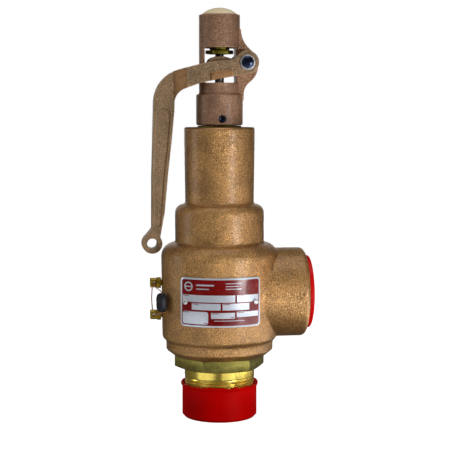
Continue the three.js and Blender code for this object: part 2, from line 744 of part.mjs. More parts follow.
place('body_casting', bodyCasting(), castBronze);
place('inlet_nozzle', inletNozzle(), brass);
place('inlet_protector_cap', inletProtectorCap(), redPlastic);
place('outlet_protector_plug', outletProtectorPlug(), brightRedPlastic);
place('lower_regulator_ring', regulatorRing(79.5, 91, LOWER_PIN_Z), dullBrass);
place('upper_regulator_ring', regulatorRing(106.5, 120, UPPER_PIN_Z), dullBrass);
place('disc_guide', discGuide(), dullBrass);
place('valve_disc', valveDisc(), steel);
place('stem', stem(), steel);
place('lower_spring_step', springStep(LOWER_STEP, 1), steel);
place('spring', springCoil(), springSteel);
place('upper_spring_step', springStep(UPPER_STEP, -1), steel);
place('top_plug', topPlug(), brass);
place('compression_screw', compressionScrew(), brass);
place('compression_locknut', compressionLocknut(), brass);
place('cap', cap(), capBronze);
place('cap_set_screw', capSetScrew(), blackSteel);
place('lift_nut', stemNut(LIFT_NUT, LIFT_NUT_R), dullBrass);
place('lift_jam_nut', stemNut(LIFT_JAM_NUT, 8.6), dullBrass);
place('lever', lever(), capBronze);
place('lever_pin', leverPin(), blackSteel);
place('lever_pin_washer_front', leverPinWasher(-1), steel);
place('lever_pin_washer_back', leverPinWasher(1), steel);
place('lever_pin_nut', leverPinNut(), steel);
place('upper_ring_pin', ringPin(UPPER_PIN_Z), brass);
place('lower_ring_pin', ringPin(LOWER_PIN_Z), brass);
place('upper_ring_pin_locknut', ringPinLocknut(UPPER_PIN_Z), dullBrass);
place('lower_ring_pin_locknut', ringPinLocknut(LOWER_PIN_Z), dullBrass);
place('seal_wire', sealWire(), copper);
place('lead_seal', leadSeal(), lead);
place('nameplate', nameplate(), plateMetal);
place('nameplate_screw_left', nameplateScrew(plateScrewAzimuths[0]), steel);
place('nameplate_screw_right', nameplateScrew(plateScrewAzimuths[1]), steel);

export default valve;
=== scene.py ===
# The looks of a bronze pressure relief valve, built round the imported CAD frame.
# Metres, +Z up the valve's axis, +X out of the outlet.
import json
from math import atan2, ceil, cos, degrees, hypot, pi, radians, sin, tan

import bmesh
import bpy
import numpy as np
from mathutils import Matrix, Vector, noise


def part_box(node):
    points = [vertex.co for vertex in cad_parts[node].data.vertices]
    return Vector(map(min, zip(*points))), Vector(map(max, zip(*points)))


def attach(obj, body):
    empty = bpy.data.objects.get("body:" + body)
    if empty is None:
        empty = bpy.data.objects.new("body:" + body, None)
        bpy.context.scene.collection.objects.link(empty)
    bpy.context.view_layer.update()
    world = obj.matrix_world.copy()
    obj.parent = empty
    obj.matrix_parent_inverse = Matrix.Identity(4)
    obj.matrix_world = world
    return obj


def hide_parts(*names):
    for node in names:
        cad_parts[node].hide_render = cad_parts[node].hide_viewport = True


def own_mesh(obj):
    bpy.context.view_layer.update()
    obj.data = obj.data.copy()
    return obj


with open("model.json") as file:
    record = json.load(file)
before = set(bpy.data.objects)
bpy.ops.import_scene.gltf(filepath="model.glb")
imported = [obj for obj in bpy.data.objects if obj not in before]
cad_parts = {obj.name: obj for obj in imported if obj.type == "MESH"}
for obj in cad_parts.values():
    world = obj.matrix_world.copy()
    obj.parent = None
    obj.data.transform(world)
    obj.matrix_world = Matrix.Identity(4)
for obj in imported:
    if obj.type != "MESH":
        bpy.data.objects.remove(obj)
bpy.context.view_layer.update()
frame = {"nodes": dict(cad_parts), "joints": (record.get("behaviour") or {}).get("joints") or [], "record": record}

scene = bpy.context.scene
MM = 0.001
TINY = 1e-6

# ------------------------------------------------------------------ driving sizes, in mm unless stated
ROUND = 192                      # facets round turned pieces
ROUND_LARGE = 288                # facets round the casting and the pipe fittings
ROUND_SMALL = 48                 # facets round screws and holes
BODY_VOXEL = 0.75                # size of the faces of the large casting
BODY_SKIN = (0.14, 5)            # depth and width of the waves left in it by the sand
BODY_CORNER = 1.5                # roundness of its corners
HUB_CORNER = 1.0
SMALL_CAST_VOXEL = 0.42
SMALL_CAST_SKIN = (0.07, 1.8)
SMALL_CAST_SMOOTHING = 6         # rounds of smoothing
RIM_BAND = 1.4                   # bare metal round the housing's top
DOME_HEIGHT = 5.6
PIPE_THREAD_PITCH = 2.21
PIPE_THREAD_DEPTH = 0.9
SHANK_RADIUS_LIMIT = 32          # every radius of the shank is below it, and the wrench hex is above it
THREAD_END_BELOW_HEX = 7
LIP_HEIGHT = 3.4                 # uneven rim of the inlet's protector cap
LIP_WAVES = [(0.5, 3, 0.6), (0.35, 7, 2.1), (0.3, 17, 4)]      # height, waves round the rim, phase
# node: height where its thread starts, pitch, depth, least radius that is threaded
THREADED_RODS = {
    "stem": (305.7, 1.25, 0.55, 3.5),
    "compression_screw": (235, 1.5, 0.6, 7),
    "top_plug": (233, 1.5, 0.4, 21),
}
SPRING_WIRE_R = 2.9
SPRING_TURNS = 6.5
PLATE_THICK = 0.55
PLATE_CORNER = 3.2
PLATE_RIM = 1.5                  # bare metal round the print
PRINT_THICK = 0.07
SEAL_HALF = (3.8, 5.4, 8)        # half sizes of the lead seal: outwards, sideways, up
WIRE_STRAND_R = 0.3
WIRE_TWIST = 2.6                 # length of one turn of the twisted pair
FLOOR_SIZE = 6.0                 # metres

# camera, in metres and degrees round the valve's axis
CAMERA_AZIMUTH = -7.16
CAMERA_DISTANCE = 1.097
CAMERA_HEIGHT = 0.2667
CAMERA_PITCH = 5.45
CAMERA_LENS = 100.95             # mm on a 36 mm sensor
CAMERA_SHIFT = 0.0209

# name: azimuth and elevation in degrees, distance, width and height in metres, power in watts
SOFTBOXES = {
    "key": (36, -4, 1.0, 0.28, 0.2, 3.9),
    "left_rim": (-95, 0, 1.0, 0.25, 0.42, 1.4),
    "left_high": (-60, 30, 1.1, 0.5, 0.4, 0.6),
    "overhead": (0, 88, 1.0, 0.7, 0.7, 3.3),
    "front_high": (20, 65, 1.0, 0.5, 0.5, 0.6),
    "behind": (180, 9, 1.1, 1.2, 0.3, 0.8),
}
# azimuth in degrees, distance from the axis and side in metres, power in watts
FLOOR_LAMPS = [(60, 0.4, 0.35, 0.9), (30, 0.35, 0.35, 0.4), (80, 0.35, 0.35, 0.6), (-50, 0.21, 0.2, 0.14)]
MIRRORED_GREY = (1, 0.94, 0.82, 1)
MIRRORED_STRENGTH = 0.072

ORIGIN = Vector((0, 0, 0))
RIGHT = Vector((1, 0, 0))
BACK = Vector((0, 1, 0))
UP = Vector((0, 0, 1))


# ------------------------------------------------------------------ mesh helpers
def mesh_object(name, vertices, faces):
    """A new object in the scene, its faces turned outwards."""
    mesh = bpy.data.meshes.new(name)
    mesh.from_pydata([tuple(v) for v in vertices], [], faces)
    obj = bpy.data.objects.new(name, mesh)
    scene.collection.objects.link(obj)
    outward(obj)
    return obj


def outward(obj):
    """Turns every face of a closed mesh outwards."""
    bm = bmesh.new()
    bm.from_mesh(obj.data)
    bmesh.ops.recalc_face_normals(bm, faces=bm.faces)
    bm.to_mesh(obj.data)
    bm.free()
    obj.data.update()


def smooth(obj, angle=30):
    """Smooth shading, with edges sharper than the angle kept crisp."""
    obj.data.shade_smooth()
    obj.data.set_sharp_from_angle(angle=radians(angle))
    return obj


def apply_modifiers(obj):
    """Makes what the modifiers show the object's own mesh."""
    bpy.context.view_layer.update()
    seen = obj.evaluated_get(bpy.context.evaluated_depsgraph_get())
    mesh = bpy.data.meshes.new_from_object(seen)
    obj.modifiers.clear()
    obj.data = mesh
    return obj


def combine(obj, others, operation):
    """Joins or cuts obj with each of the other closed meshes, which are used up."""
    for other in others:
        modifier = obj.modifiers.new("combine", "BOOLEAN")
        modifier.operation = operation
        modifier.solver = "MANIFOLD"
        modifier.object = other
        apply_modifiers(obj)
        bpy.data.objects.remove(other)
    return obj


def placement(origin, axis, side):
    """Matrix that carries +Z onto the axis and +X onto the side direction."""
    axis = axis.normalized()
    side = side.normalized()
    turn = Matrix((side, axis.cross(side), axis)).transposed().to_4x4()
    return Matrix.Translation(origin) @ turn


def place(obj, origin, axis, side):
    """Moves a mesh made about Z onto another axis."""
    obj.data.transform(placement(origin, axis, side))
    return obj


def cad_copy(name, node):
    """A free copy of a CAD node's mesh, with its split corners joined and its flat faces whole."""
    source = frame["nodes"][node]
    mesh = source.data.copy()
    mesh.materials.clear()
    obj = bpy.data.objects.new(name, mesh)
    scene.collection.objects.link(obj)
    bm = bmesh.new()
    bm.from_mesh(mesh)
    bmesh.ops.remove_doubles(bm, verts=bm.verts, dist=TINY)
    bmesh.ops.dissolve_limit(bm, angle_limit=radians(0.5), verts=bm.verts, edges=bm.edges)
    bm.to_mesh(mesh)
    bm.free()
    mesh.update()
    return obj


def vertex_array(obj):
    """Vertex positions as rows of an array."""
    co = np.empty(len(obj.data.vertices) * 3)
    obj.data.vertices.foreach_get("co", co)
    return co.reshape(-1, 3)


def write_vertices(obj, co):
    obj.data.vertices.foreach_set("co", co.astype(np.float32).ravel())
    obj.data.update()


# ------------------------------------------------------------------ outlines taken from the frame
def ordered_loops(edges):
    """Chains of (x, z) points, one for each closed ring of edges."""
    left = set(edges)
    loops = []
    while left:
        edge = left.pop()
        first, here = edge.verts
        loop = [first]
        while here is not first:
            loop.append(here)
            edge = next(e for e in here.link_edges if e in left)
            left.remove(edge)
            here = edge.other_vert(here)
        loops.append([Vector((v.co.x, v.co.z)) for v in loop])
    return loops


def clipped(loop):
    """The part of a closed loop on the positive x side, starting on the axis if the loop crosses it."""
    kept = []
    for here, after in zip(loop, loop[1:] + loop[:1]):
        if here.x >= 0:
            kept.append(here)
        if (here.x >= 0) != (after.x >= 0):
            share = here.x / (here.x - after.x)
            kept.append(Vector((0, here.y + share * (after.y - here.y))))
    if any(p.x < TINY for p in kept):
        start = next(i for i, p in enumerate(kept) if p.x < TINY and kept[i - 1].x < TINY)
        kept = kept[start:] + kept[:start]
    return kept


def without_straight_points(loop, closed, least=0.4):
    """Drops repeated points, and points where the outline turns by less than the least angle, in degrees."""
    points = [p for i, p in enumerate(loop) if (p - loop[i - 1]).length > 5 * TINY or i == 0]
    kept = []
    for i, p in enumerate(points):
        at_end = not closed and i in (0, len(points) - 1)
        a = p - points[i - 1]
        b = points[(i + 1) % len(points)] - p
        if at_end or abs(degrees(a.angle(b, 0))) > least:
            kept.append(p)
    return kept


def section(node, origin=ORIGIN, axis=UP, side=BACK):
    """(radius, height) outline where a half-plane through the axis cuts a CAD node."""
    beside_facet_corner = 0.02 * MM
    bm = bmesh.new()
    bm.from_mesh(frame["nodes"][node].data)
    bm.transform(placement(origin, axis, side).inverted())
    bmesh.ops.remove_doubles(bm, verts=bm.verts, dist=TINY)
    cut = bmesh.ops.bisect_plane(
        bm,
        geom=bm.verts[:] + bm.edges[:] + bm.faces[:],
        plane_co=(0, beside_facet_corner, 0),
        plane_no=(0, 1, 0),
    )
    edges = [e for e in cut["geom_cut"] if isinstance(e, bmesh.types.BMEdge)]
    loops = [loop for loop in ordered_loops(edges) if max(p.x for p in loop) > TINY]
    outline = clipped(max(loops, key=lambda loop: max(p.y for p in loop if p.x > 0)))
    bm.free()
    closed = min(p.x for p in outline) > TINY
    return without_straight_points(outline, closed)


def softened(outline, radius, closed, steps=4):
    """Rounds each corner of an outline."""
    made = []
    count = len(outline)
    for i, corner in enumerate(outline):
        if not closed and i in (0, count - 1):
            made.append(corner.copy())
            continue
        before = outline[i - 1] - corner
        after = outline[(i + 1) % count] - corner
        bend = pi - before.angle(after, pi)
        reach = min(radius * tan(bend / 2), 0.48 * before.length, 0.48 * after.length)
        start = corner + before.normalized() * reach
        end = corner + after.normalized() * reach
        for step in range(steps + 1):
            t = step / steps
            made.append(start * (1 - t) ** 2 + corner * 2 * t * (1 - t) + end * t ** 2)
    return made


def dense(outline, low, high, step):
    """Adds points to the stretches of an open outline that lie between two heights."""
    made = [outline[0]]
    for here, after in zip(outline, outline[1:]):
        if max(here.y, after.y) > low and min(here.y, after.y) < high:
            parts = max(1, ceil((after - here).length / step))
            made.extend(here.lerp(after, i / parts) for i in range(1, parts))
        made.append(after)
    return made


def thread(pitch, depth, low, high, outward_by=-1):
    """Ripple of a screw thread between two heights, fading out over its last turn."""
    def ripple(angle, height):
        turn = height / pitch - angle / (2 * pi)
        wave = 1 - np.abs(2 * (turn - np.floor(turn)) - 1)
        fade = np.clip((height - low) / pitch, 0, 1) * np.clip((high - height) / pitch, 0, 1)
        return outward_by * depth * wave * fade
    return ripple


def revolve(name, outline, facets=ROUND, ripple=None, where=None):
    """Closed solid turned about Z from a (radius, height) outline that ends on the axis or closes on itself.
    ripple(angle, height) is added to the radius of the rows that where(radius) allows."""
    on_axis = outline[0].x < TINY and outline[-1].x < TINY
    rows = outline[1:-1] if on_axis else outline
    angles = np.arange(facets) * 2 * pi / facets
    radii = np.array([p.x for p in rows])[:, None] + np.zeros(facets)
    heights = np.array([p.y for p in rows])[:, None] + np.zeros(facets)
    if ripple:
        allowed = np.array([bool(where is None or where(p.x)) for p in rows])[:, None]
        radii = radii + ripple(angles, heights) * allowed
    co = np.stack([radii * np.cos(angles), radii * np.sin(angles), heights], axis=2).reshape(-1, 3)
    vertices = co.tolist()
    last = len(rows) - 1
    faces = []
    for row in range(last if on_axis else last + 1):
        here, above = row * facets, ((row + 1) % len(rows)) * facets
        for i in range(facets):
            j = (i + 1) % facets
            faces.append((here + i, here + j, above + j, above + i))
    if on_axis:
        for row, end in ((0, outline[0]), (last, outline[-1])):
            vertices.append((0, 0, end.y))
            centre = len(vertices) - 1
            start = row * facets
            faces.extend((start + i, start + (i + 1) % facets, centre) for i in range(facets))
    return mesh_object(name, vertices, faces)


def turned(name, node, origin=ORIGIN, axis=UP, side=BACK, soften=0.35, facets=ROUND):
    """A smooth turned piece with the outline of a faceted CAD node."""
    outline = section(node, origin, axis, side)
    closed = outline[0].x > TINY
    piece = revolve(name, softened(outline, soften * MM, closed), facets)
    return smooth(place(piece, origin, axis, side))


def with_bevel(obj, width, segments, sharper_than):
    """Rounds the edges that turn by more than an angle in degrees."""
    modifier = obj.modifiers.new("bevel", "BEVEL")
    modifier.width = width * MM
    modifier.segments = segments
    modifier.limit_method = "ANGLE"
    modifier.angle_limit = radians(sharper_than)
    return apply_modifiers(obj)


def bevelled(name, node):
    """A CAD node's own shape with its sharp edges rounded."""
    return smooth(with_bevel(cad_copy(name, node), 0.35, 3, 32), 40)


def remeshed(obj, voxel, smoothing):
    """Closed skin of even faces, with its creases and edges rounded as in a casting."""
    modifier = obj.modifiers.new("remesh", "REMESH")
    modifier.mode = "VOXEL"
    modifier.voxel_size = voxel * MM
    apply_modifiers(obj)
    modifier = obj.modifiers.new("smooth", "SMOOTH")
    modifier.factor = 0.5
    modifier.iterations = smoothing
    return apply_modifiers(obj)


def cast_skin(obj, depth, size):
    """Moves a fine mesh in and out by a little fractal noise, as a sand mould leaves it."""
    co = vertex_array(obj)
    normals = np.empty(len(co) * 3)
    obj.data.vertices.foreach_get("normal", normals)
    normals = normals.reshape(-1, 3)
    scale = 1 / (size * MM)
    waves = np.array([noise.fractal(Vector(p) * scale, 1.0, 2.0, 3) for p in co])
    write_vertices(obj, co + normals * (waves * depth * MM)[:, None])
    return obj


def swept(name, points, radius, sides):
    """Round wire along a list of points, without twist and with flat ends."""
    points = [Vector(p) for p in points]
    across = (points[1] - points[0]).orthogonal().normalized()
    vertices = []
    for i, p in enumerate(points):
        ahead = points[min(i + 1, len(points) - 1)] - points[max(i - 1, 0)]
        across = (across - across.project(ahead)).normalized()
        other = ahead.normalized().cross(across)
        for k in range(sides):
            a = 2 * pi * k / sides
            vertices.append(p + (across * cos(a) + other * sin(a)) * radius)
    faces = []
    for i in range(len(points) - 1):
        for k in range(sides):
            m = (k + 1) % sides
            faces.append((i * sides + k, i * sides + m, (i + 1) * sides + m, (i + 1) * sides + k))
    faces.append(tuple(range(sides)))
    faces.append(tuple((len(points) - 1) * sides + k for k in range(sides)))
    return smooth(mesh_object(name, vertices, faces), 60)


def joined(name, parts):
    """One mesh object holding the meshes of several."""
    bm = bmesh.new()
    for part in parts:
        bm.from_mesh(part.data)
    mesh = bpy.data.meshes.new(name)
    bm.to_mesh(mesh)
    bm.free()
    for part in parts:
        bpy.data.objects.remove(part)
    obj = bpy.data.objects.new(name, mesh)
    scene.collection.objects.link(obj)
    return obj


# ------------------------------------------------------------------ materials
def colour(red, green, blue):
    """Linear colour from 0 to 255 display values."""
    return tuple((c / 255) ** 2.2 for c in (red, green, blue)) + (1,)


class Recipe:
    """A node material in the making. Sizes are in mm."""

    def __init__(self, name, metallic=0.0, **constants):
        self.material = bpy.data.materials.new(name)
        self.material.use_nodes = True
        self.tree = self.material.node_tree
        self.shader = self.tree.nodes["Principled BSDF"]
        self.shader.inputs["Metallic"].default_value = metallic
        for socket, value in constants.items():
            self.shader.inputs[socket.replace("_", " ")].default_value = value
        self.place = self.node("ShaderNodeTexCoord").outputs["Object"]

    def node(self, kind, inputs=None, **settings):
        made = self.tree.nodes.new(kind)
        for key, value in settings.items():
            setattr(made, key, value)
        for key, value in (inputs or {}).items():
            if isinstance(value, bpy.types.NodeSocket):
                self.tree.links.new(value, made.inputs[key])
            else:
                made.inputs[key].default_value = value
        return made

    def noise(self, size, detail=3.0, roughness=0.6, stretch=(1, 1, 1)):
        """Fractal noise whose largest waves have the given size."""
        place = self.node("ShaderNodeMapping", {"Vector": self.place, "Scale": stretch}).outputs[0]
        inputs = {"Vector": place, "Scale": 1 / (size * MM), "Detail": detail, "Roughness": roughness}
        return self.node("ShaderNodeTexNoise", inputs).outputs["Fac"]

    def spread(self, value, low, high, to_low=0.0, to_high=1.0):
        """Maps one range of a value onto another."""
        inputs = {"Value": value, "From Min": low, "From Max": high, "To Min": to_low, "To Max": to_high}
        return self.node("ShaderNodeMapRange", inputs).outputs["Result"]

    def mix(self, factor, first, second, blend="MIX"):
        inputs = {0: factor, 6: first, 7: second}
        return self.node("ShaderNodeMix", inputs, data_type="RGBA", blend_type=blend).outputs[2]

    def edges(self, low, high):
        """0 in hollows and on flats, 1 on convex edges of a fine mesh."""
        return self.spread(self.node("ShaderNodeNewGeometry").outputs["Pointiness"], low, high)

    def bump(self, height, depth, after=None):
        inputs = {"Height": height, "Distance": depth * MM, "Strength": 1.0}
        if after is not None:
            inputs["Normal"] = after
        return self.node("ShaderNodeBump", inputs).outputs["Normal"]

    def uneven(self, size, low, high):
        """A value that wanders between two others over patches of a size."""
        return self.spread(self.noise(size, 4), 0.3, 0.7, low, high)

    def finish(self, base, rough, normal=None):
        self.tree.links.new(base, self.shader.inputs["Base Color"])
        self.tree.links.new(rough, self.shader.inputs["Roughness"])
        if normal is not None:
            self.tree.links.new(normal, self.shader.inputs["Normal"])
        return self.material


def cast_metal(name, oxide, bright, grain, depth, rough, coat, metallic=(0.2, 1.0)):
    """Sand-cast bronze: brown oxide between bright grains, blotches, rubbed edges and darker hollows."""
    m = Recipe(name, Coat_Weight=coat, Coat_Roughness=0.3)
    blotch = m.spread(m.noise(16, 3), 0.35, 0.65, 0.8, 1.14)
    speckle = m.spread(m.noise(grain, 4, 0.75), 0.4, 0.6)
    edge = m.edges(0.503, 0.54)
    shine = m.node("ShaderNodeMath", {0: speckle, 1: edge}, operation="MAXIMUM").outputs[0]
    base = m.mix(shine, oxide, bright)
    base = m.mix(m.edges(0.49, 0.43), base, oxide)
    base = m.mix(1.0, base, m.node("ShaderNodeCombineColor", {0: blotch, 1: blotch, 2: blotch}).outputs[0],
                 "MULTIPLY")
    m.tree.links.new(m.spread(shine, 0, 1, *metallic), m.shader.inputs["Metallic"])
    roughness = m.spread(m.noise(grain * 1.4, 3, 0.7), 0.3, 0.7, rough[0], rough[1])
    coarse = m.bump(m.noise(grain * 3, 3), depth * 1.4)
    fine = m.bump(m.noise(grain, 5, 0.8), depth, after=coarse)
    return m.finish(base, roughness, fine)


def turned_metal(name, base, tint, rough=(0.1, 0.2), depth=0.008, metallic=1.0):
    """Machined metal: fine rings round the axis, faint stains."""
    m = Recipe(name, metallic=metallic)
    stains = m.spread(m.noise(9, 4), 0.35, 0.7)
    colour_here = m.mix(stains, base, tint)
    rings = m.noise(2.2, 2, stretch=(0.12, 0.12, 5))
    return m.finish(colour_here, m.uneven(3, *rough), m.bump(rings, depth))


def worn_metal(name, base, tint, rough, grain=1.2, depth=0.03, metallic=0.95):
    """Plain or plated metal with scuffs and stains."""
    m = Recipe(name, metallic=metallic)
    stains = m.spread(m.noise(5, 4), 0.35, 0.68)
    colour_here = m.mix(stains, base, tint)
    return m.finish(colour_here, m.uneven(2, *rough), m.bump(m.noise(grain, 4, 0.65), depth))


def moulded_plastic(name, base, tint, rough, shine=0.15):
    """Red plastic with faint clouds of colour and a slightly wavy skin."""
    m = Recipe(name, Specular_IOR_Level=shine)
    clouds = m.spread(m.noise(18, 3), 0.3, 0.7)
    colour_here = m.mix(clouds, base, tint)
    ripple = m.bump(m.noise(11, 2), 0.12)
    return m.finish(colour_here, m.uneven(4, *rough), m.bump(m.noise(0.8, 3), 0.008, after=ripple))


def enamel():
    """Glossy red print of the nameplate."""
    m = Recipe("nameplate_enamel", Coat_Weight=0.4, Coat_Roughness=0.1)
    colour_here = m.mix(m.spread(m.noise(7, 3), 0.3, 0.7), colour(112, 4, 10), colour(138, 8, 16))
    roughness = m.spread(m.noise(3, 3), 0.3, 0.7, 0.16, 0.3)
    return m.finish(colour_here, roughness, m.bump(m.noise(6, 2), 0.05))


def floor_paper():
    """Near white paper that glows a little, so that no shadow is seen on it."""
    m = Recipe("studio_floor", Emission_Color=(1, 1, 1, 1), Emission_Strength=0.97)
    colour_here = m.mix(m.noise(60, 2), colour(200, 200, 200), colour(206, 206, 206))
    roughness = m.spread(m.noise(40, 2), 0.3, 0.7, 0.7, 0.8)
    return m.finish(colour_here, roughness)


# name: recipe, its two colours (0 to 255), then the rest of the recipe's values in its own order
RECIPES = {
    "body_bronze": (cast_metal, (112, 60, 14), (242, 190, 122), 0.7, 0.5, (0.24, 0.38), 0.4, (0.45, 1.0)),
    "cap_bronze": (cast_metal, (100, 64, 40), (212, 166, 134), 0.7, 0.55, (0.34, 0.5), 0.4),
    "lever_bronze": (cast_metal, (86, 62, 38), (206, 172, 134), 0.7, 0.6, (0.36, 0.52), 0.4),
    # Near-white and not metallic: partly the turned finish of the cap's dome, partly a painted highlight on its
    # upward faces.
    "machined_bronze": (worn_metal, (255, 240, 200), (248, 222, 176), (0.3, 0.42), 1.2, 0.02, 0.0),
    "ground_bronze": (worn_metal, (190, 146, 104), (164, 122, 82), (0.4, 0.55), 0.9, 0.05),
    "polished_brass": (turned_metal, (252, 228, 112), (242, 206, 88), (0.18, 0.26), 0.0015, 0.8),
    "dull_brass": (worn_metal, (150, 140, 74), (112, 106, 60), (0.35, 0.55), 1.6, 0.06),
    "screw_brass": (worn_metal, (206, 178, 70), (160, 132, 48), (0.25, 0.45)),
    # Yellow plated colour made darker to stand for the shade inside the cap's window: partly the plating, partly
    # painted shade.
    "plated_nut": (worn_metal, (150, 138, 50), (96, 88, 36), (0.3, 0.5)),
    "stainless_steel": (turned_metal, (206, 206, 208), (186, 186, 190)),
    "plain_steel": (worn_metal, (240, 240, 242), (216, 216, 220), (0.2, 0.38), 1.2, 0.03, 0.6),
    "black_steel": (worn_metal, (66, 76, 106), (28, 34, 50), (0.14, 0.3), 1.4, 0.02, 0.8),
    "spring_steel": (worn_metal, (92, 94, 98), (62, 64, 68), (0.35, 0.55)),
    "copper_wire": (worn_metal, (220, 140, 120), (190, 150, 140), (0.25, 0.4)),
    "lead": (worn_metal, (58, 60, 66), (30, 32, 38), (0.42, 0.62), 1.5, 0.14, 0.55),
    "nameplate_metal": (worn_metal, (222, 228, 240), (206, 214, 228), (0.3, 0.46), 2.4, 0.015, 0.3),
    "red_cap_plastic": (moulded_plastic, (240, 0, 0), (222, 0, 0), (0.4, 0.55), 0.05),
    "red_plug_plastic": (moulded_plastic, (214, 18, 20), (198, 12, 14), (0.3, 0.44)),
}
materials = {
    name: recipe(name, colour(*base), colour(*tint), *rest)
    for name, (recipe, base, tint, *rest) in RECIPES.items()
}
slot_of_node = {part["node"]: part["material_slot"] for part in frame["record"]["subparts"]}
body_of_node = {n: b for b, members in frame["record"]["behaviour"]["bodies"].items() for n in members}


def dressed(piece, node):
    """The piece stands for a CAD node: it takes that node's body, material slot and place."""
    slot_name = slot_of_node[node]
    piece.data.materials.clear()
    piece.data.materials.append(materials[slot_name])
    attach(piece, body_of_node[node])
    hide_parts(node)
    return piece


def second_finish(piece, name, chosen):
    """Gives the faces that chosen(place, normal) picks another material."""
    piece.data.materials.append(materials[name])
    for face in piece.data.polygons:
        if chosen(face.center, face.normal):
            face.material_index = 1


# ------------------------------------------------------------------ body casting
def walk_wall(loop, stop):
    """Outside and inside of a wall's closed outline, each from its top face down to the stop height."""
    top = max(p.y for p in loop)
    at_top = sorted((i for i, p in enumerate(loop) if p.y > top - TINY), key=lambda i: loop[i].x)
    inner, outer = at_top[0], at_top[-1]
    count = len(loop)
    step = 1 if (outer - inner) % count == 1 else -1

    def walked(start, direction):
        side = []
        for i in range(count):
            p = loop[(start + i * direction) % count]
            if p.y < stop - TINY:
                break
            side.append(p)
            if p.y < stop + TINY:
                break
        return side

    return walked(outer, step), walked(inner, -step)


def body_casting():
    """The large casting: turned wall and outlet hub, skinned as one, then bored, threaded and faced."""
    wall = section("body_casting")
    bottom = min(p.y for p in wall)
    outside, inside = walk_wall(wall, bottom)
    chamber_r = max(p.x for p in outside)
    chamber_inner_r = max(p.x for p in inside)
    top = outside[0].y

    outlet_low, outlet_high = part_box("outlet_protector_plug")
    outlet_axis = Vector((0, 0, (outlet_low.z + outlet_high.z) / 2))
    hub = section("body_casting", outlet_axis, RIGHT, UP)
    hub_outside = walk_wall(hub, chamber_r + 2 * MM)[0]
    hub_inside = walk_wall(hub, chamber_inner_r + 0.5 * MM)[1]

    corner_steps = 6
    outer = [Vector((0, top))] + outside + [Vector((0, bottom))]
    outer = softened(outer, BODY_CORNER * MM, False, corner_steps)
    casting = revolve("body_casting_skin", outer, ROUND_LARGE)
    buried = 10 * MM
    hub_outline = [Vector((0, hub_outside[0].y))] + hub_outside
    hub_outline += [Vector((hub_outline[-1].x, buried)), Vector((0, buried))]
    hub_solid = revolve("hub", softened(hub_outline, HUB_CORNER * MM, False, corner_steps), ROUND_LARGE)
    place(hub_solid, outlet_axis, RIGHT, UP)
    combine(casting, [hub_solid], "UNION")
    remeshed(casting, BODY_VOXEL, 2)
    cast_skin(casting, *BODY_SKIN)

    cutters = [
        bore_cutter("bore", inside, top, bottom),
        hub_cutter(hub_inside, outlet_axis),
        top_trim(outside, top),
    ]
    cutters += pin_holes()
    combine(casting, cutters, "DIFFERENCE")
    dressed(smooth(casting, 35), "body_casting")
    second_finish(casting, "ground_bronze", lambda place, normal: place.z > top - RIM_BAND * MM)


def bore_cutter(name, inside, top, bottom):
    """The hollow of the casting, with an internal thread for the spring housing's plug."""
    beyond = 5 * MM
    pitch, depth, threaded = 1.5 * MM, 0.5 * MM, 16 * MM
    widest_threaded_r = 23 * MM
    outline = [Vector((0, top + beyond)), Vector((inside[0].x, top + beyond))]
    outline += softened(inside, 0.5 * MM, False)
    outline += [Vector((inside[-1].x, bottom - beyond)), Vector((0, bottom - beyond))]
    low = top - threaded
    outline = dense(outline, low, top, pitch / 6)
    return revolve(name, outline, ROUND, thread(pitch, depth, low, top, 1), lambda r: r < widest_threaded_r)


def hub_cutter(inside, axis_origin):
    """The outlet's passage and its female pipe thread."""
    pitch = PIPE_THREAD_PITCH * MM
    face = inside[0].y
    beyond = 3 * MM
    buried = 33 * MM
    mouth = inside[0] + (inside[0] - inside[1]).normalized() * beyond
    outline = [Vector((0, mouth.y)), mouth] + inside[1:]
    outline += [Vector((inside[-1].x, buried)), Vector((0, buried))]
    threaded_r = inside[1].x
    low = min(p.y for p in inside if abs(p.x - threaded_r) < TINY)
    outline = dense(outline, low, face, pitch / 8)
    cutter = revolve("outlet", outline, ROUND_LARGE, thread(pitch, PIPE_THREAD_DEPTH * MM, low, face, 1),
                     lambda r: abs(r - threaded_r) < 0.2 * MM)
    return place(cutter, axis_origin, RIGHT, UP)


def top_trim(outside, top):
    """Ring that turns the housing's top face and a short band below it to clean metal."""
    band = 1.3 * MM
    slope = 0.72 * MM
    rim = outside[0].x
    within, wide, above = rim - 6 * MM, rim + 8 * MM, top + 4 * MM
    outline = [Vector((within, top)), Vector((rim, top)), Vector((rim + slope, top - band)),
               Vector((wide, top - band)), Vector((wide, above)), Vector((within, above))]
    return revolve("trim", softened(outline, 0.3 * MM, True), ROUND_LARGE)


def pin_holes():
    """Drilled holes for the two ring pins."""
    made = []
    for node in ("upper_ring_pin", "lower_ring_pin"):
        low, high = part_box(node)
        radius = (high.z - low.z) * 0.4
        start, end = -high.x + 4 * MM, -low.x
        outline = [Vector((0, start)), Vector((radius, start)), Vector((radius, end)), Vector((0, end))]
        hole = revolve("hole", outline, ROUND_SMALL)
        made.append(place(hole, Vector((0, 0, (low.z + high.z) / 2)), -RIGHT, UP))
    return made


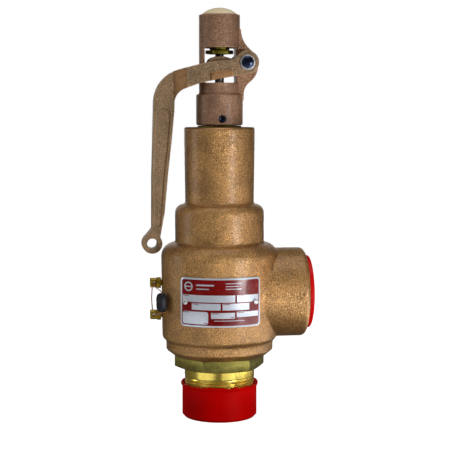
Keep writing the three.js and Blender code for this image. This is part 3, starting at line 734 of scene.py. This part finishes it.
# ------------------------------------------------------------------ inlet
def inlet_nozzle():
    """Polished threaded shank with a dull wrench hex, bored right through."""
    outline = section("inlet_nozzle")
    co = vertex_array(frame["nodes"]["inlet_nozzle"])
    radii = np.hypot(co[:, 0], co[:, 1])
    corner_r = radii.max()
    corner = co[radii > corner_r - 0.01 * MM][0]
    turn = atan2(corner[1], corner[0])
    flat_r = max(p.x for p in outline)
    hex_heights = [p.y for p in outline if p.x > SHANK_RADIUS_LIMIT * MM]
    hex_low, hex_high = min(hex_heights), max(hex_heights)
    top = max(p.y for p in outline)
    bottom = min(p.y for p in outline)
    outside, inside = walk_wall(outline, bottom)
    shank = [p for p in outside if p.x < SHANK_RADIUS_LIMIT * MM]

    least_threaded_r = 27 * MM
    thread_high = hex_low - THREAD_END_BELOW_HEX * MM
    pitch = PIPE_THREAD_PITCH * MM
    solid = softened([Vector((0, top))] + shank + [Vector((0, bottom))], 0.5 * MM, False)
    solid = dense(solid, bottom, thread_high, pitch / 8)
    nozzle = revolve("inlet_nozzle_turned", solid, ROUND_LARGE,
                     thread(pitch, PIPE_THREAD_DEPTH * MM, bottom, thread_high),
                     lambda r: r > least_threaded_r)
    combine(nozzle, [wrench_hex(flat_r, corner_r, hex_low, hex_high, turn)], "UNION")
    beyond = 3 * MM
    bore = [Vector((0, top + beyond)), Vector((inside[0].x, top + beyond))] + softened(inside, 1 * MM, False)
    bore += [Vector((inside[-1].x, bottom - beyond)), Vector((0, bottom - beyond))]
    combine(nozzle, [revolve("bore", bore, ROUND)], "DIFFERENCE")
    smooth(nozzle, 55)
    dressed(nozzle, "inlet_nozzle")
    shank_r = max(p.x for p in shank) + 0.05 * MM
    second_finish(nozzle, "dull_brass", lambda place, normal: (
        hex_low - MM < place.z < hex_high + MM and hypot(place.x, place.y) > shank_r))


def wrench_hex(flat_r, corner_r, low, high, turn):
    """Wrench hexagon with its lower corners turned off."""
    full_corner = flat_r / cos(radians(30))
    outline = [Vector((0, high)), Vector((full_corner, high)), Vector((full_corner, low)), Vector((0, low))]
    prism = revolve("hex", outline, 6)
    prism.data.transform(Matrix.Rotation(turn, 4, "Z"))
    chamfer = 1.5 * MM
    above, wide, narrow = high + 1 * MM, corner_r + 1 * MM, flat_r - 0.3 * MM
    cone = [Vector((0, above)), Vector((wide, above)), Vector((wide, low + chamfer)),
            Vector((narrow, low)), Vector((0, low))]
    combine(prism, [revolve("cone", cone, ROUND)], "INTERSECT")
    return with_bevel(prism, 0.5, 3, 25)


def inlet_cap():
    """Pushed-on plastic cap: its lip is torn a little uneven where it was moulded."""
    outline = softened(section("inlet_protector_cap"), 0.5 * MM, False)
    top = max(p.y for p in outline)
    lip_start = top - LIP_HEIGHT * MM
    outline = dense(outline, lip_start, top, 0.35 * MM)
    cup = revolve("inlet_protector_cap_moulded", outline, ROUND_LARGE)
    co = vertex_array(cup)
    angle = np.arctan2(co[:, 1], co[:, 0])
    share = np.clip((co[:, 2] - lip_start) / (top - lip_start), 0, 1)
    waves = sum(height * np.sin(count * angle + phase) for height, count, phase in LIP_WAVES)
    tears = 0.35 * np.sin(41 * angle + 1.1) * (np.sin(5 * angle) > 0)
    flare = 1 + share ** 2 * (0.012 + 0.006 * np.sin(4 * angle + 1) + 0.004 * np.sin(11 * angle))
    co[:, 0] *= flare
    co[:, 1] *= flare
    co[:, 2] += share * (0.9 * waves + tears) * MM
    write_vertices(cup, co)
    return dressed(smooth(cup), "inlet_protector_cap")


def outlet_plug():
    """Plastic plug turned about the outlet's axis."""
    low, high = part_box("outlet_protector_plug")
    axis_origin = Vector((0, 0, (low.z + high.z) / 2))
    plug = turned("outlet_protector_plug_moulded", "outlet_protector_plug", axis_origin, RIGHT, UP,
                  0.7, ROUND_LARGE)
    return dressed(plug, "outlet_protector_plug")


# ------------------------------------------------------------------ cap and lever
def small_casting(name, node):
    """A CAD node's own shape with the rounded edges and uneven skin of a casting."""
    piece = remeshed(cad_copy(name, node), SMALL_CAST_VOXEL, SMALL_CAST_SMOOTHING)
    cast_skin(piece, *SMALL_CAST_SKIN)
    return dressed(smooth(piece, 60), node)


def cap():
    """Slotted cap, cast all over but for its turned dome. The dome's upward faces get a near-white, non-metallic
    colour: turned metal and a painted highlight.
    """
    piece = small_casting("cap_skin", "cap")
    dome_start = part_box("cap")[1].z - DOME_HEIGHT * MM
    facing_up = 0.7
    # Upward faces of the dome take the near-white colour: turned metal plus a painted highlight from the lamp
    # above.
    second_finish(piece, "machined_bronze",
                  lambda place, normal: place.z > dome_start and normal.z > facing_up)


def lever():
    """Forked lever. The slopes behind its elbow and the two pads under the fork are ground."""
    piece = small_casting("lever_skin", "lever")
    pad = max(v.co.y for v in piece.data.vertices) - 0.5 * MM
    half_handle = 5 * MM

    def ground(place, normal):
        slope = normal.x < -0.45 and 0.55 < abs(normal.y) < 0.88 and abs(place.y) > half_handle
        return abs(place.y) > pad or slope

    second_finish(piece, "ground_bronze", ground)


# ------------------------------------------------------------------ stem, spring and the pieces round them
def plain_turned_pieces():
    """Disc, guide and spring steps: turned all over."""
    for node in ("disc_guide", "valve_disc", "lower_spring_step", "upper_spring_step"):
        dressed(turned(node + "_turned", node), node)


def threaded_rod(node, thread_start, pitch, depth, least_r):
    """A turned piece whose outside, beyond a least radius, is threaded from a height to its top."""
    outline = section(node)
    closed = outline[0].x > TINY
    outline = softened(outline, 0.4 * MM, closed)
    top = max(p.y for p in outline)
    loop = outline + outline[:1] if closed else outline
    low = thread_start * MM
    loop = dense(loop, low, top, pitch * MM / 8)
    if closed:
        loop = loop[:-1]
    ripple = thread(pitch * MM, depth * MM, low, top - 0.3 * MM)
    piece = revolve(node + "_turned", loop, ROUND_SMALL * 2, ripple, lambda r: r > least_r * MM)
    return dressed(smooth(piece, 50), node)


def spring():
    """Round wire coil with closed end turns."""
    low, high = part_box("spring")
    wire_r = SPRING_WIRE_R * MM
    mean_r = high.x - wire_r
    steps_per_turn = 48
    count = round(SPRING_TURNS * steps_per_turn)
    closed_share = 1 / SPRING_TURNS
    start, end = low.z + wire_r, high.z - wire_r
    tight = 2.05 * wire_r            # rise of a closed end turn, its wires all but touching
    points = []
    for i in range(count + 1):
        t = i / count
        if t < closed_share:
            height = start + tight * t / closed_share
        elif t > 1 - closed_share:
            height = end - tight * (1 - t) / closed_share
        else:
            share = (t - closed_share) / (1 - 2 * closed_share)
            height = start + tight + share * (end - start - 2 * tight)
        a = 2 * pi * SPRING_TURNS * t
        points.append(Vector((mean_r * cos(a), mean_r * sin(a), height)))
    coil = swept("spring_coil", points, wire_r, 16)
    dressed(coil, "spring")
    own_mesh(coil)
    return coil


# ------------------------------------------------------------------ lever pin, nuts and screws
def lever_pin_pieces():
    """Pin and washers, turned about the lever's pivot."""
    pivot = Vector(next(j["pos_m"] for j in frame["joints"] if j["name"] == "lever_pivot"))
    for node in ("lever_pin", "lever_pin_washer_front", "lever_pin_washer_back"):
        dressed(turned(node + "_turned", node, pivot, BACK, UP, 0.3, ROUND_SMALL * 2), node)


def nuts_and_pins():
    """Small machined pieces that keep the shape they have in the frame."""
    for node in ("lever_pin_nut", "lift_nut", "lift_jam_nut", "compression_locknut", "upper_ring_pin",
                 "lower_ring_pin", "upper_ring_pin_locknut", "lower_ring_pin_locknut", "cap_set_screw",
                 "upper_regulator_ring", "lower_regulator_ring"):
        dressed(bevelled(node + "_machined", node), node)


def plate_screws():
    """Round-headed drive screws, each on its own radius of the chamber."""
    for node in ("nameplate_screw_left", "nameplate_screw_right"):
        low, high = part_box(node)
        middle = (low + high) / 2
        outwards = Vector((middle.x, middle.y, 0)).normalized()
        origin = Vector((0, 0, middle.z))
        dressed(turned(node + "_turned", node, origin, outwards, UP, 0.4, ROUND_SMALL), node)


# ------------------------------------------------------------------ seal
def curve_through(points, steps):
    """Points along a smooth curve through the given ones."""
    path = [points[0]] + list(points) + [points[-1]]
    made = []
    for i in range(len(points) - 1):
        a, b, c, d = (Vector(p) for p in path[i:i + 4])
        for k in range(steps):
            t = k / steps
            made.append(0.5 * (2 * b + (c - a) * t + (2 * a - 5 * b + 4 * c - d) * t ** 2
                               + (3 * b - a - 3 * c + d) * t ** 3))
    made.append(Vector(points[-1]))
    return made


def seal_places():
    """Middle of the lead seal, and the middles of the two pins' wire holes."""
    low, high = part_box("lead_seal")
    seal = (low + high) / 2
    hole_from_head = 2.8 * MM
    pins = []
    for node in ("upper_ring_pin", "lower_ring_pin"):
        low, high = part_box(node)
        pins.append(Vector((low.x + hole_from_head, 0, (low.z + high.z) / 2)))
    return seal, pins


def seal_wire():
    """Twisted pair of wires through both pins' heads and the seal. Offsets along its route are in mm."""
    seal, (upper, lower) = seal_places()

    def off(point, x, y, z):
        return point + Vector((x, y, z)) * MM

    route = [
        off(seal, 0, 0, 2), off(seal, 0, 0, 8.6), off(upper, 0.6, -7.4, -2.4), off(upper, 0, -4.6, 0),
        off(upper, 0, 4.6, 0), off(upper, -0.6, 5.2, -4.6), off(upper, -1.2, 0.6, -9),
        off(upper, -1.6, -1, -13), off(lower, -1.2, 0.6, 8), off(lower, -0.6, 5.2, 4.2),
        off(lower, 0, 4.6, 0), off(lower, 0, -4.6, 0), off(lower, 0.6, -7.2, 0.6),
        off(seal, 0, 0, -8.4), off(seal, 0, 0, -2),
    ]
    middle = curve_through(route, 24)
    strands = []
    for side in (0, pi):
        across = (middle[1] - middle[0]).orthogonal().normalized()
        travelled = 0
        points = []
        for i, p in enumerate(middle):
            ahead = middle[min(i + 1, len(middle) - 1)] - middle[max(i - 1, 0)]
            across = (across - across.project(ahead)).normalized()
            other = ahead.normalized().cross(across)
            travelled += (p - middle[i - 1]).length if i else 0
            a = side + 2 * pi * travelled / (WIRE_TWIST * MM)
            points.append(p + (across * cos(a) + other * sin(a)) * WIRE_STRAND_R * MM)
        strands.append(swept("strand", points, WIRE_STRAND_R * MM, 8))
    return dressed(joined("seal_wire_twisted", strands), "seal_wire")


def lead_seal():
    """Lead slug squeezed flat by the sealing pliers, with a rim left round both faces."""
    low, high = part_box("lead_seal")
    seal = (low + high) / 2
    outwards = Vector((seal.x, seal.y, 0)).normalized()
    along = outwards.cross(UP)
    half = Vector(SEAL_HALF) * MM
    bm = bmesh.new()
    bmesh.ops.create_cube(bm, size=2)
    bmesh.ops.subdivide_edges(bm, edges=bm.edges, cuts=23, use_grid_fill=True)
    squareness, rim_start, rim_width, pressed_by, lumps = 3.2, 0.72, 0.12, 0.16, 0.035
    for v in bm.verts:
        x, y, z = v.co
        v.co /= (abs(x) ** squareness + abs(y) ** squareness + abs(z) ** squareness) ** (1 / squareness)
        face = max(abs(v.co.y) * 1.15, abs(v.co.z))
        lump = noise.fractal(v.co * 2.2, 1, 2, 3)
        v.co.x *= 1 - pressed_by * min(1, max(0, (rim_start - face) / rim_width))
        v.co *= 1 + lumps * lump
    mesh = bpy.data.meshes.new("lead_seal_pressed")
    bm.to_mesh(mesh)
    bm.free()
    turn = Matrix((outwards, along, UP)).transposed().to_4x4()
    mesh.transform(Matrix.Translation(seal) @ turn @ Matrix.Diagonal((*half, 1)))
    obj = bpy.data.objects.new("lead_seal_pressed", mesh)
    scene.collection.objects.link(obj)
    outward(obj)
    return dressed(smooth(obj, 50), "lead_seal")


# ------------------------------------------------------------------ nameplate
def rounded_rectangle(low, high, radius, steps=8):
    """Points of a rectangle with round corners, from (x, y) corners in mm."""
    points = []
    centres = [(high[0] - radius, high[1] - radius, 0), (low[0] + radius, high[1] - radius, 90),
               (low[0] + radius, low[1] + radius, 180), (high[0] - radius, low[1] + radius, 270)]
    for x, y, start in centres:
        for i in range(steps + 1):
            a = radians(start + 90 * i / steps)
            points.append((x + radius * cos(a), y + radius * sin(a)))
    return points


def sheet_solid(name, outline, low, high):
    """Flat outline in (x, z), in mm, made solid between two depths along -Y."""
    count = len(outline)
    vertices = [(x * MM, -depth * MM, z * MM) for depth in (low, high) for x, z in outline]
    faces = [tuple(range(count)), tuple(range(count, 2 * count))]
    faces += [(i, (i + 1) % count, count + (i + 1) % count, count + i) for i in range(count)]
    return mesh_object(name, vertices, faces)


def wrapped(obj, radius, azimuth):
    """Bends a flat plate in the XZ plane round the Z axis: depth 0 lands on the radius."""
    bm = bmesh.new()
    bm.from_mesh(obj.data)
    width = max(abs(v.co.x) for v in bm.verts)
    strip = 1.2 * MM
    for i in range(-ceil(width / strip), ceil(width / strip) + 1):
        geometry = bm.verts[:] + bm.edges[:] + bm.faces[:]
        bmesh.ops.bisect_plane(bm, geom=geometry, plane_co=(i * strip, 0, 0), plane_no=(1, 0, 0))
    for v in bm.verts:
        r = radius - v.co.y
        a = azimuth + v.co.x / radius
        v.co.x, v.co.y = r * cos(a), r * sin(a)
    bm.to_mesh(obj.data)
    bm.free()
    obj.data.update()
    return obj


# Blank metal fields of the print as shares of the panel: left, right, and bottom, top from its upper edge.
PLATE_FIELDS = [
    (0.010, 0.676, 0.335, 0.490), (0.700, 0.988, 0.335, 0.490),
    (0.140, 0.500, 0.515, 0.660), (0.522, 0.860, 0.515, 0.660),
    (0.010, 0.350, 0.700, 0.975), (0.385, 0.672, 0.715, 0.845), (0.696, 0.988, 0.700, 0.815),
]


def plate_marks(left, top, width, height):
    """Generic print: rows of plain dashes and a ring with a bar, as outlines in mm."""
    def dash(u0, u1, v, thick=0.022):
        x0, x1 = left + u0 * width, left + u1 * width
        z = top - v * height
        return [(x0, z - thick * height), (x1, z - thick * height), (x1, z), (x0, z)]

    bare = [dash(0.20, 0.42, 0.10, 0.035), dash(0.20, 0.36, 0.19)]
    bare += [dash(0.56, 0.76 - 0.04 * (row % 2), 0.07 + 0.06 * row, 0.016) for row in range(3)]
    bare += [dash(0.42, 0.80, 0.885, 0.014)]
    inked = [dash(u0 + 0.01, u0 + 0.09, v0 + 0.012, 0.014) for u0, _, v0, _ in PLATE_FIELDS]
    inked += [dash(u1 - 0.05, u1 - 0.012, v1 - 0.032, 0.014) for _, u1, _, v1 in PLATE_FIELDS[4:6]]
    return bare, inked


def nameplate():
    """Bent metal plate with a raised red print that leaves its fields bare."""
    co = vertex_array(frame["nodes"]["nameplate"])
    radii = np.hypot(co[:, 0], co[:, 1])
    inner_r = radii.min()
    angles = np.unwrap(np.arctan2(co[:, 1], co[:, 0]) % (2 * pi))
    azimuth = (angles.min() + angles.max()) / 2
    half_width = (angles.max() - angles.min()) / 2 * inner_r / MM
    low_z, high_z = co[:, 2].min() / MM, co[:, 2].max() / MM

    edge = rounded_rectangle((-half_width, low_z), (half_width, high_z), PLATE_CORNER)
    blank = sheet_solid("nameplate_blank", edge, 0, PLATE_THICK)
    with_bevel(blank, 0.16, 2, 50)
    dressed(smooth(wrapped(blank, inner_r, azimuth), 30), "nameplate")

    left, right = -half_width + PLATE_RIM, half_width - PLATE_RIM
    low, top = low_z + PLATE_RIM, high_z - PLATE_RIM
    width, height = right - left, top - low
    print_low, print_high = PLATE_THICK, PLATE_THICK + PRINT_THICK
    panel = sheet_solid("nameplate_print", rounded_rectangle((left, low), (right, top), 2.2),
                        print_low, print_high)
    bare, inked = plate_marks(left, top, width, height)
    holes = []
    for u0, u1, v0, v1 in PLATE_FIELDS:
        corners = (left + u0 * width, top - v1 * height), (left + u1 * width, top - v0 * height)
        radius = 1.9 if v1 > 0.9 else 0.3
        field = rounded_rectangle(*corners, radius)
        holes.append(sheet_solid("field", field, print_low - 1, print_high + 1))
    holes += [sheet_solid("mark", outline, print_low - 1, print_high + 1) for outline in bare]
    holes.append(emblem(left + 0.095 * width, top - 0.155 * height, 0.105 * height, print_low, print_high))
    combine(panel, [joined("holes", holes)], "DIFFERENCE")
    dashes = [sheet_solid("dash", outline, print_low, print_high) for outline in inked]
    panel = joined("nameplate_print", [panel] + dashes)
    wrapped(panel, inner_r, azimuth)
    panel.data.materials.append(enamel())
    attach(panel, body_of_node["nameplate"])
    return panel


def emblem(x, z, radius, low, high):
    """A plain ring with a level bar across it."""
    steps = 40
    angles = [2 * pi * i / steps for i in range(steps)]
    outer = [(x + radius * cos(a), z + radius * sin(a)) for a in angles]
    inner = [(x + 0.72 * (px - x), z + 0.72 * (pz - z)) for px, pz in outer]
    ring = sheet_solid("ring", outer, low - 1, high + 1)
    combine(ring, [sheet_solid("inside", inner, low - 2, high + 2)], "DIFFERENCE")
    bar = [(x - 0.9 * radius, z - 0.12 * radius), (x + 0.9 * radius, z - 0.12 * radius),
           (x + 0.9 * radius, z + 0.12 * radius), (x - 0.9 * radius, z + 0.12 * radius)]
    return combine(ring, [sheet_solid("bar", bar, low - 1, high + 1)], "UNION")


# ------------------------------------------------------------------ studio
def studio_floor():
    """Large plain floor that only the camera sees."""
    half = FLOOR_SIZE / 2
    corners = [(-half, -half, 0), (half, -half, 0), (half, half, 0), (-half, half, 0)]
    floor = mesh_object("studio_floor", corners, [(0, 1, 2, 3)])
    floor.data.materials.append(floor_paper())
    floor.visible_glossy = False
    floor.visible_diffuse = False


def softbox(name, azimuth, elevation, distance, width, height, power):
    """Rectangular lamp that faces the middle of the valve. Azimuth 0 is in front, positive to the right."""
    lamp = bpy.data.lights.new(name, "AREA")
    lamp.shape = "RECTANGLE"
    lamp.size = width
    lamp.size_y = height
    lamp.energy = power
    obj = bpy.data.objects.new(name, lamp)
    scene.collection.objects.link(obj)
    a, e = radians(azimuth), radians(elevation)
    back = Vector((sin(a) * cos(e), -cos(a) * cos(e), sin(e)))
    obj.location = Vector((0, 0, 0.17)) + back * distance
    obj.rotation_euler = back.to_track_quat("Z", "Y").to_euler()
    obj.visible_camera = False
    return obj


def floor_lamp(azimuth, distance, size, power):
    """Lamp lying on the floor and facing up, in place of the light that a white floor throws back."""
    lamp = softbox(f"floor_lamp_{azimuth}", azimuth, 0, distance, size, size, power)
    lamp.location.z = 0.01
    lamp.rotation_euler = (pi, 0, 0)


def surroundings():
    """White to the eye, and a dimmer grey for what the metal mirrors."""
    world = bpy.data.worlds.new("studio")
    scene.world = world
    world.use_nodes = True
    tree = world.node_tree
    tree.nodes.clear()
    seen = tree.nodes.new("ShaderNodeBackground")
    seen.inputs["Color"].default_value = (1, 1, 1, 1)
    seen.inputs["Strength"].default_value = 1.0
    mirrored = tree.nodes.new("ShaderNodeBackground")
    mirrored.inputs["Color"].default_value = MIRRORED_GREY
    mirrored.inputs["Strength"].default_value = MIRRORED_STRENGTH
    ray = tree.nodes.new("ShaderNodeLightPath")
    mix = tree.nodes.new("ShaderNodeMixShader")
    out = tree.nodes.new("ShaderNodeOutputWorld")
    tree.links.new(ray.outputs["Is Camera Ray"], mix.inputs[0])
    tree.links.new(mirrored.outputs[0], mix.inputs[1])
    tree.links.new(seen.outputs[0], mix.inputs[2])
    tree.links.new(mix.outputs[0], out.inputs[0])


def camera():
    """Long lens a little above the valve's middle, looking slightly down."""
    data = bpy.data.cameras.new("camera")
    data.lens = CAMERA_LENS
    data.sensor_width = 36
    data.shift_x = CAMERA_SHIFT
    data.clip_end = 20
    obj = bpy.data.objects.new("camera", data)
    scene.collection.objects.link(obj)
    a = radians(CAMERA_AZIMUTH)
    obj.location = (sin(a) * CAMERA_DISTANCE, -cos(a) * CAMERA_DISTANCE, CAMERA_HEIGHT)
    obj.rotation_euler = (radians(90 - CAMERA_PITCH), 0, a)
    scene.camera = obj


# ------------------------------------------------------------------ the scene
body_casting()
inlet_nozzle()
inlet_cap()
outlet_plug()
cap()
lever()
plain_turned_pieces()
for rod, measures in THREADED_RODS.items():
    threaded_rod(rod, *measures)
spring()
lever_pin_pieces()
nuts_and_pins()
plate_screws()
seal_wire()
lead_seal()
nameplate()

studio_floor()
for lamp_name, setting in SOFTBOXES.items():
    softbox(lamp_name, *setting)
for azimuth, distance, size, power in FLOOR_LAMPS:
    floor_lamp(azimuth, distance, size, power)
surroundings()
camera()
scene.view_settings.view_transform = "Standard"
